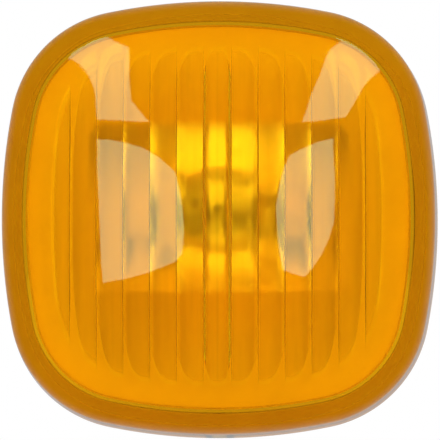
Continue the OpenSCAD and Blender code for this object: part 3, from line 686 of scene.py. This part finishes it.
housing_plastic = moulded_plastic("housing_plastic", (0.86, 0.85, 0.82), 0.5, 0.12)
holder_plastic = moulded_plastic("holder_plastic", (0.75, 0.74, 0.7), 0.5, 0.15, (9 * MM, 16 * MM))
silicone = soft_rubber("seal_silicone", (0.78, 0.76, 0.71), 0.55)
zinc = worked_metal("zinc_plate", (0.62, 0.63, 0.65), (0.5, 0.5, 0.48), 0.34)
brass = worked_metal("stamped_brass", (0.8, 0.6, 0.3), (0.5, 0.34, 0.16), 0.3)
tungsten = worked_metal("drawn_tungsten", (0.36, 0.35, 0.34), (0.25, 0.25, 0.28), 0.4)
plated = worked_metal("plated_wire", (0.76, 0.74, 0.7), (0.55, 0.52, 0.47), 0.26)

finished("housing", "housing_moulding", housing_plastic, "lamp", 0.15 * MM)
finished("panel_gasket", "foam_gasket", cut_foam(), "lamp", 0.2 * MM)
finished("retaining_spring", "spring_strip", zinc, "lamp", 0.05 * MM)
finished("bulb_holder", "holder_moulding", holder_plastic, "holder", 0.15 * MM)
finished("holder_seal", "seal_ring", silicone, "holder", 0.2 * MM)
finished("bulb_glass", "bulb_envelope", blown_glass(), "holder")
finished("filament", "filament_coil", tungsten, "holder")
for side in ("left", "right"):
    finished("contact_" + side, "contact_strip_" + side, brass, "holder", 0.04 * MM)
    finished("lead_wire_" + side, "plated_wire_" + side, plated, "holder")


def aim(obj, target):
    obj.rotation_euler = (target - obj.location).to_track_quat("-Z", "Y").to_euler()


CAMERA_AZIMUTH = math.radians(1.8)
CAMERA_ELEVATION = math.radians(-3.6)
CAMERA_DISTANCE = 0.5
CAMERA_TARGET = Vector((0.00021, -0.006, -0.00033))
SENSOR = 36
VIEW_WIDTH = 0.05397


def camera():
    """Camera at the photo's angle, slightly below the middle of the lamp."""
    data = bpy.data.cameras.new("camera")
    cam = new_object("camera", data)
    away = Vector((math.sin(CAMERA_AZIMUTH), -math.cos(CAMERA_AZIMUTH), 0)) * math.cos(CAMERA_ELEVATION)
    away.z = math.sin(CAMERA_ELEVATION)
    cam.location = CAMERA_TARGET + away * CAMERA_DISTANCE
    aim(cam, CAMERA_TARGET)
    data.sensor_width = SENSOR
    data.lens = SENSOR * CAMERA_DISTANCE / VIEW_WIDTH
    bpy.context.scene.camera = cam


def panel(name, corners, strength):
    """Flat panel given by its corners, which shows only in mirror images."""
    mesh = bpy.data.meshes.new(name)
    mesh.from_pydata(corners, [], [range(len(corners))])
    obj = new_object(name, mesh)
    material = bpy.data.materials.new(name)
    material.use_nodes = True
    t = Tree(material.node_tree)
    mirrored = t.math("MULTIPLY", t.add("ShaderNodeLightPath").outputs["Is Glossy Ray"], strength)
    glow = t.add("ShaderNodeEmission", {"Color": WINDOW_COLOUR, "Strength": mirrored}).outputs[0]
    t.feed(material.node_tree.nodes["Material Output"].inputs["Surface"], glow)
    mesh.materials.append(material)


WINDOW_COLOUR = (0.5, 1, 0.65, 1)
WINDOW_WALL_Y = -1.2
# Corners of each pane on that wall, as X and Z; the upper ones reach past the lens's corners
WINDOWS = {
    "window_upper_left": [
        (-0.338, 0.6), (-0.318, 0.636), (-0.293, 0.668), (-0.265, 0.689), (-0.244, 0.704),
        (-0.266, 0.649), (-0.288, 0.592), (-0.303, 0.542), (-0.315, 0.493), (-0.297, 0.459),
        (-0.274, 0.423), (-0.333, 0.414), (-0.392, 0.401), (-0.457, 0.38), (-0.441, 0.42),
        (-0.418, 0.467), (-0.4, 0.512), (-0.388, 0.54), (-0.374, 0.562), (-0.358, 0.582),
    ],
    "window_lower_left": [
        (-0.481, 0.319), (-0.423, 0.329), (-0.368, 0.329), (-0.31, 0.32), (-0.25, 0.288),
        (-0.195, 0.236), (-0.178, 0.16), (-0.167, 0.08), (-0.162, 0.005), (-0.167, -0.07),
        (-0.192, -0.102), (-0.247, -0.119), (-0.294, -0.132), (-0.375, -0.139), (-0.458, -0.133),
        (-0.484, -0.066), (-0.5, 0.003), (-0.511, 0.081), (-0.512, 0.159), (-0.504, 0.237),
    ],
    "window_upper_right": [
        (0.2, 0.675), (0.245, 0.632), (0.288, 0.578), (0.332, 0.52), (0.352, 0.492),
        (0.368, 0.468), (0.388, 0.436), (0.4, 0.401), (0.396, 0.37), (0.351, 0.383),
        (0.301, 0.394), (0.25, 0.405), (0.254, 0.438), (0.251, 0.476), (0.248, 0.511),
        (0.245, 0.55), (0.233, 0.588), (0.216, 0.625),
    ],
    "window_lower_right": [
        (0.23, 0.29), (0.278, 0.308), (0.325, 0.32), (0.377, 0.32), (0.399, 0.255),
        (0.416, 0.192), (0.423, 0.124), (0.419, 0.056), (0.395, 0.005), (0.364, -0.042),
        (0.321, -0.093), (0.28, -0.135), (0.242, -0.132), (0.203, -0.123), (0.196, -0.049),
        (0.192, 0.026), (0.189, 0.102), (0.199, 0.171), (0.21, 0.237),
    ],
}


def panels():
    """Two tall windows left and right, each crossed by a bar, on a wall in front of the lamp."""
    for name, corners in WINDOWS.items():
        panel(name, [(x, WINDOW_WALL_Y, z) for x, z in corners], PANEL_GLOW)


def floor():
    """Pale floor just below the lamp; mirror images on the lens leave it out."""
    mesh = bpy.data.meshes.new("floor")
    outline = (
        (-FLOOR_HALF_WIDTH, FLOOR_FRONT_Y),
        (FLOOR_HALF_WIDTH, FLOOR_FRONT_Y),
        (FLOOR_HALF_WIDTH, FLOOR_BACK_Y),
        (-FLOOR_HALF_WIDTH, FLOOR_BACK_Y),
    )
    mesh.from_pydata([(x, y, FLOOR_Z) for x, y in outline], [], [range(4)])
    obj = new_object("floor", mesh)
    material, t, shader, out = new_material("floor_paper")
    shader.inputs["Base Color"].default_value = (0.85, 0.85, 0.84, 1)
    shader.inputs["Roughness"].default_value = 0.8
    path = t.add("ShaderNodeLightPath").outputs
    direct = t.math("SUBTRACT", 1.0, path["Is Transmission Ray"])
    mirrored = t.math("MULTIPLY", path["Is Glossy Ray"], direct)
    clear = t.add("ShaderNodeBsdfTransparent")
    mixed = t.add("ShaderNodeMixShader", {0: mirrored, 1: shader.outputs[0], 2: clear.outputs[0]}).outputs[0]
    t.feed(out.inputs["Surface"], mixed)
    mesh.materials.append(material)


FLOOR_Z = -0.034
FLOOR_HALF_WIDTH = 0.5
FLOOR_FRONT_Y = -0.35
FLOOR_BACK_Y = 0.65

# World levels: on plain surfaces, through the lens from the front and the back, in mirror images
AMBIENT = 0.7
FRONT_GLOW = 0.6
BACK_GLOW = 0.55
MIRROR_BACK = 0.5
MIRROR_FRONT = 0.03
PANEL_GLOW = 4.8

# Studio lamps, in watts, left and right above the camera
KEY_LEFT = 5
KEY_RIGHT = 4.6
KEY_X = 0.42
KEY_Y = -1.0
KEY_Z = 0.3
KEY_SIZE = (0.12, 0.4)

# Lamps inside the lens, in watts, which stand for the light in the bulb's chamber; no part of it
CHAMBER_BACK_Y = 0.02
BOX_FILL = 0.0014
BOX_FILL_COLOUR = (1, 0.62, 0.3)
BOX_FILL_Y = -0.0036
BOX_FILL_Z = 0.0012
BOX_FILL_SIZE = (0.021, 0.016)
BULB_LIGHT = 0.0026
BULB_LIGHT_Y = -0.0078
BULB_LIGHT_Z = 0.003
BULB_LIGHT_SIZE = (0.004, 0.013)
BULB_LIGHT_SPREAD = math.radians(30)


def area_lamp(name, place, target, size, power, colour=(1, 1, 1)):
    """Soft lamp that is seen in no mirror image."""
    data = bpy.data.lights.new(name, "AREA")
    data.shape = "RECTANGLE"
    data.size, data.size_y = size
    data.energy = power
    data.color = colour
    lamp = new_object(name, data)
    lamp.location = place
    aim(lamp, target)
    lamp.visible_camera = False
    lamp.visible_glossy = False
    lamp.visible_transmission = False
    return lamp


def lamps():
    """Two soft lamps beside the camera, and two small ones inside the lens that face the bulb."""
    middle = Vector((0, 0, 0))
    area_lamp("key_left", Vector((-KEY_X, KEY_Y, KEY_Z)), middle, KEY_SIZE, KEY_LEFT)
    area_lamp("key_right", Vector((KEY_X, KEY_Y, KEY_Z)), middle, KEY_SIZE, KEY_RIGHT)
    place = Vector((0, BOX_FILL_Y, BOX_FILL_Z))
    target = Vector((0, CHAMBER_BACK_Y, BOX_FILL_Z))
    area_lamp("box_fill", place, target, BOX_FILL_SIZE, BOX_FILL, BOX_FILL_COLOUR)
    place = Vector((0, BULB_LIGHT_Y, BULB_LIGHT_Z))
    target = Vector((0, CHAMBER_BACK_Y, BULB_LIGHT_Z))
    glow = area_lamp("bulb_light", place, target, BULB_LIGHT_SIZE, BULB_LIGHT)
    glow.data.spread = BULB_LIGHT_SPREAD


def world():
    sky = bpy.data.worlds.new("studio")
    sky.use_nodes = True
    bpy.context.scene.world = sky
    t = Tree(sky.node_tree)
    back = sky.node_tree.nodes["Background"]
    path = t.add("ShaderNodeLightPath").outputs
    direction = t.add("ShaderNodeSeparateXYZ", {0: t.add("ShaderNodeTexCoord").outputs["Generated"]}).outputs
    # Light seen in mirror images: dim in front, where the windows are, and paler behind
    mirrored = spread(t, direction["Y"], 0.9, 0.1, MIRROR_BACK, MIRROR_FRONT)
    # Light that comes through the lens: a little less from behind
    through = spread(t, direction["Y"], -0.7, 0.3, FRONT_GLOW, BACK_GLOW)
    level = AMBIENT
    for ray, seen in (("Is Glossy Ray", mirrored), ("Is Transmission Ray", through), ("Is Camera Ray", 1.0)):
        inputs = {"Factor": path[ray], "A": level, "B": seen}
        level = t.add("ShaderNodeMix", inputs).outputs["Result"]
    t.feed(back.inputs["Color"], (1, 1, 1, 1))
    t.feed(back.inputs["Strength"], level)


camera()
panels()
floor()
lamps()
world()
scene = bpy.context.scene
scene.view_settings.view_transform = "Standard"
